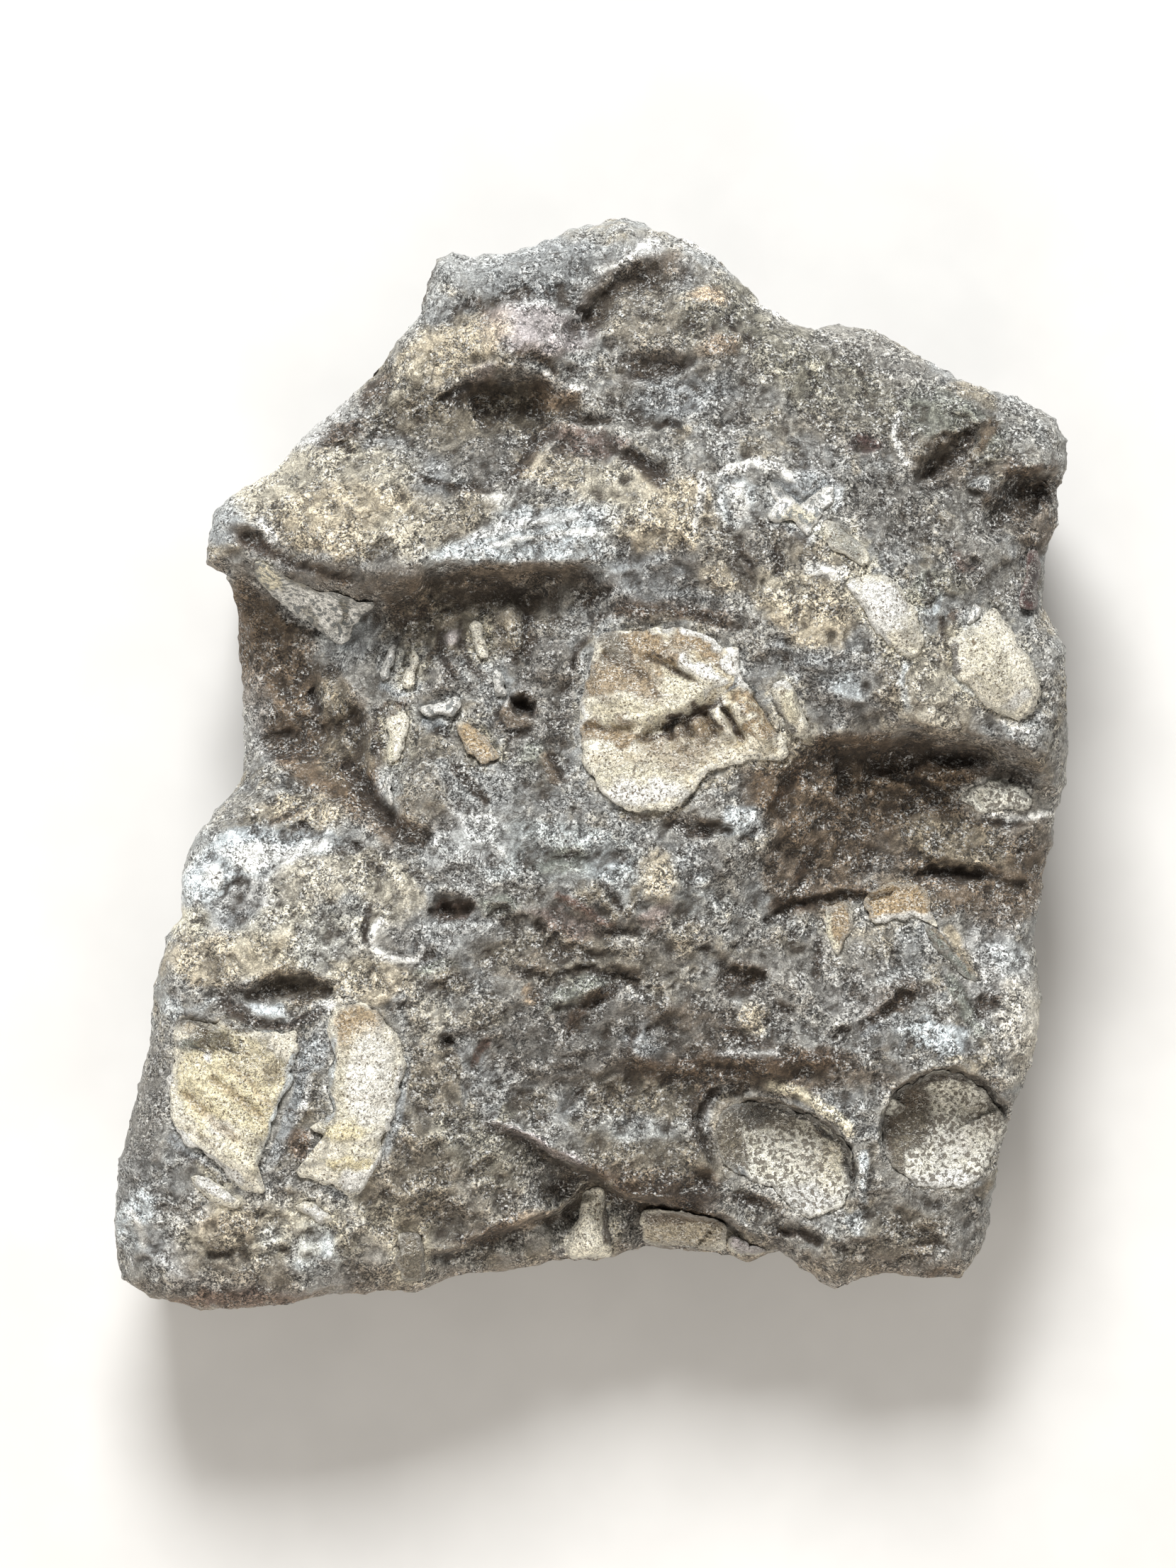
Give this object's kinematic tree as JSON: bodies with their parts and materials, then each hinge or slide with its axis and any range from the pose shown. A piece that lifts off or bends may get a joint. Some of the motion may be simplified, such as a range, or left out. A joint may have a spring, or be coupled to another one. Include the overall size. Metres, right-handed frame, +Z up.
{
  "type": "trilobite fossil in limestone",
  "caption": "Broken block of grey limestone with ribbed trilobite tail shields and other tan shell pieces weathered out on its face, lying on its flat back as a hand specimen or shelf piece.",
  "frame": {"origin": "under the middle of the block's bounding box, on the plane of its flat back", "axes": "+Z up out of the fossil face, +Y along the block's longest side towards its narrow end, +X to the right as the fossil face is seen from above"},
  "size_m": [0.1085, 0.1238, 0.0417],
  "materials": {
    "limestone": "rough broken limestone, grey with white calcite specks and brown stained hollows",
    "tan_shell": "dull tan to cream mineralised shell, finely pitted",
    "white_shell": "chalky white calcite shell",
    "speckled_shell": "cream shell lining with many small dark specks",
    "brown_shell": "dark brown shell, slightly glossy"
  },
  "bodies": {
    "root": {"matrix": "limestone", "bottom_column_1": "tan_shell", "bottom_column_2": "tan_shell", "bottom_column_3": "tan_shell", "bottom_rib": "tan_shell", "center_pygidium": "tan_shell", "center_rib_tip": "tan_shell", "cheek_spine": "white_shell", "cup_shell_left": "speckled_shell", "cup_shell_right": "speckled_shell", "edge_shell": "brown_shell", "hollow_shell": "speckled_shell", "lower_leaf": "tan_shell", "lower_pygidium_left": "tan_shell", "lower_pygidium_right": "tan_shell", "lower_rib_left": "tan_shell", "lower_rib_right": "tan_shell", "lower_sliver": "speckled_shell", "lower_tan_shell": "tan_shell", "shell_oval_1": "tan_shell", "shell_oval_2": "tan_shell", "shell_stick": "white_shell", "shell_strip": "tan_shell", "thorax_chip": "white_shell", "thorax_rib_1": "white_shell", "thorax_rib_2": "tan_shell", "thorax_rib_3": "tan_shell", "thorax_rib_4": "white_shell", "thorax_rib_5": "tan_shell", "thorax_rib_6": "tan_shell", "thorax_rib_7": "white_shell", "upper_shell": "white_shell"}
  },
  "joints": []
}
